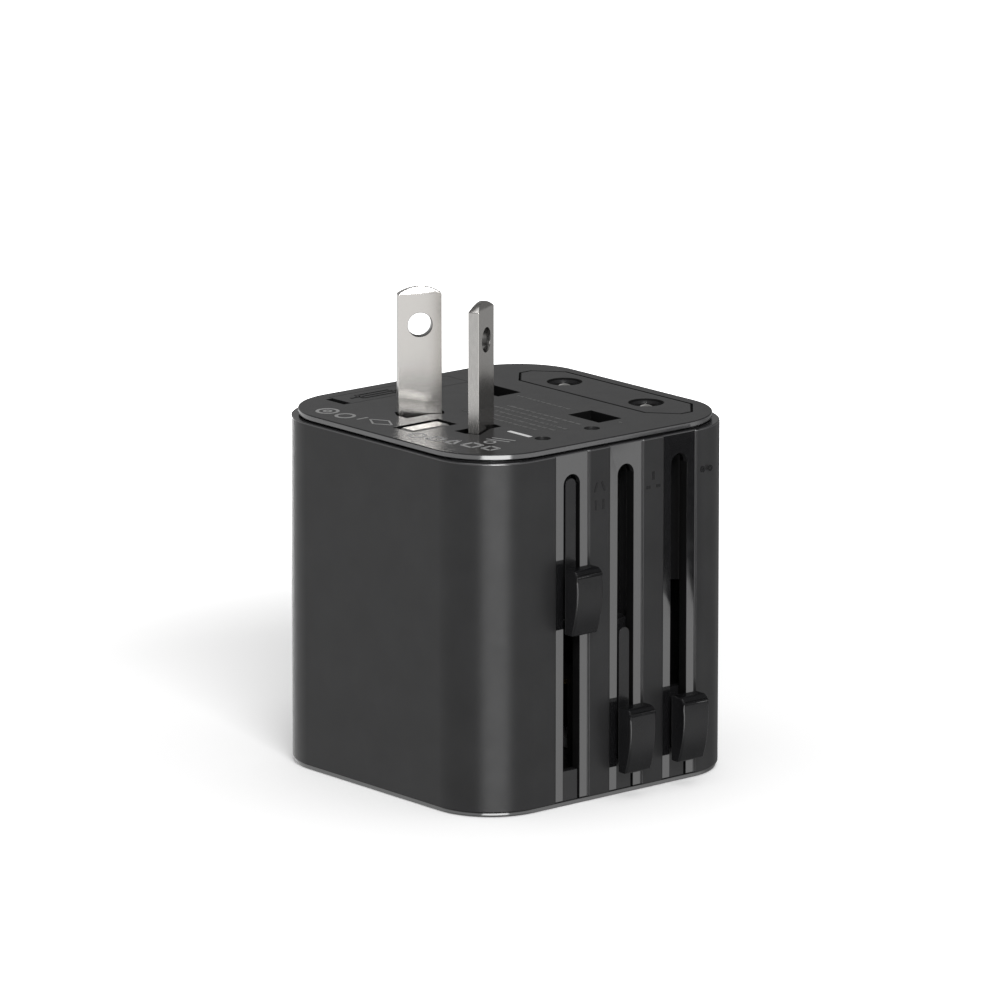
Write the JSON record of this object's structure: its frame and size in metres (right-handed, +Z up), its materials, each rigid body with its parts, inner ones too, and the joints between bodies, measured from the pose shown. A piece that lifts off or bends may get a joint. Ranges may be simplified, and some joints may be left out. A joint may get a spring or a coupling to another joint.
{
  "type": "universal travel adapter",
  "caption": "Rounded black block plug adapter: flat blades, square pins and round pins slide out of its top plate by side knobs; universal socket below.",
  "frame": {"origin": "centre of the casing on the plane it stands on", "axes": "+Z up along the plug pins, slider face towards -Y, plain face towards -X"},
  "size_m": [0.0494, 0.0526, 0.0708],
  "materials": {
    "casing_plastic": "satin black moulding, polished slider channels",
    "slider_plastic": "smooth black",
    "inner_plastic": "matt dark moulding",
    "shutter_plastic": "matt dark moulding",
    "plug_metal": "nickel-plated brass, fine vertical brushing",
    "contact_brass": "stamped strip",
    "steel": "plain spring and screw steel",
    "ceramic": "glazed ceramic tube"
  },
  "bodies": {
    "casing": {"sleeve": "casing_plastic", "top_plate": "casing_plastic", "fuse_door": "casing_plastic", "socket_plate": "casing_plastic", "shutter_spring": "steel", "contact_housing": "inner_plastic", "chassis": "inner_plastic", "live_contact": "contact_brass", "neutral_contact": "contact_brass", "earth_contact": "contact_brass", "live_rail": "contact_brass", "neutral_rail": "contact_brass", "fuse_tray": "inner_plastic", "fuse_tube": "ceramic", "fuse_end_caps": "steel", "fuse_clips": "contact_brass", "case_screws": "steel"},
    "us_group": {"us_carriage": "inner_plastic", "us_slider": "slider_plastic", "us_knob": "slider_plastic", "us_detent": "steel", "neutral_blade_clip": "steel", "live_blade_clip": "steel"},
    "neutral_blade": {"neutral_blade": "plug_metal"},
    "live_blade": {"live_blade": "plug_metal"},
    "uk_group": {"uk_carriage": "inner_plastic", "uk_slider": "slider_plastic", "uk_knob": "slider_plastic", "uk_detent": "steel", "uk_live_pin": "plug_metal", "uk_neutral_pin": "plug_metal", "uk_earth_pin": "plug_metal"},
    "eu_block": {"eu_block": "casing_plastic"},
    "eu_group": {"eu_carriage": "inner_plastic", "eu_slider": "slider_plastic", "eu_knob": "slider_plastic", "eu_detent": "steel", "eu_live_pin": "plug_metal", "eu_neutral_pin": "plug_metal"},
    "shutter": {"shutter": "shutter_plastic"}
  },
  "joints": [
    {"name": "us_slide", "type": "slide", "parent": "casing", "child": "us_group", "axis": [0, 0, 1], "range_m": [-0.0218, 0]},
    {"name": "neutral_blade_turn", "type": "hinge", "parent": "us_group", "child": "neutral_blade", "pos_m": [-0.01043, 0.00505, 0.045], "axis": [0, 0, 1], "range_deg": [0, 30]},
    {"name": "live_blade_turn", "type": "hinge", "parent": "us_group", "child": "live_blade", "pos_m": [-0.01043, -0.00765, 0.045], "axis": [0, 0, -1], "range_deg": [0, 30]},
    {"name": "uk_slide", "type": "slide", "parent": "casing", "child": "uk_group", "axis": [0, 0, 1], "range_m": [0, 0.0228]},
    {"name": "eu_block_slide", "type": "slide", "parent": "casing", "child": "eu_block", "axis": [0, 0, 1], "range_m": [0, 0.016]},
    {"name": "eu_pin_slide", "type": "slide", "parent": "eu_block", "child": "eu_group", "axis": [0, 0, 1], "range_m": [0, 0.019]},
    {"name": "shutter_slide", "type": "slide", "parent": "casing", "child": "shutter", "axis": [-1, 0, 0], "range_m": [0, 0.0054], "stiffness_N_per_m": 60, "deforming": ["shutter_spring"]}
  ]
}
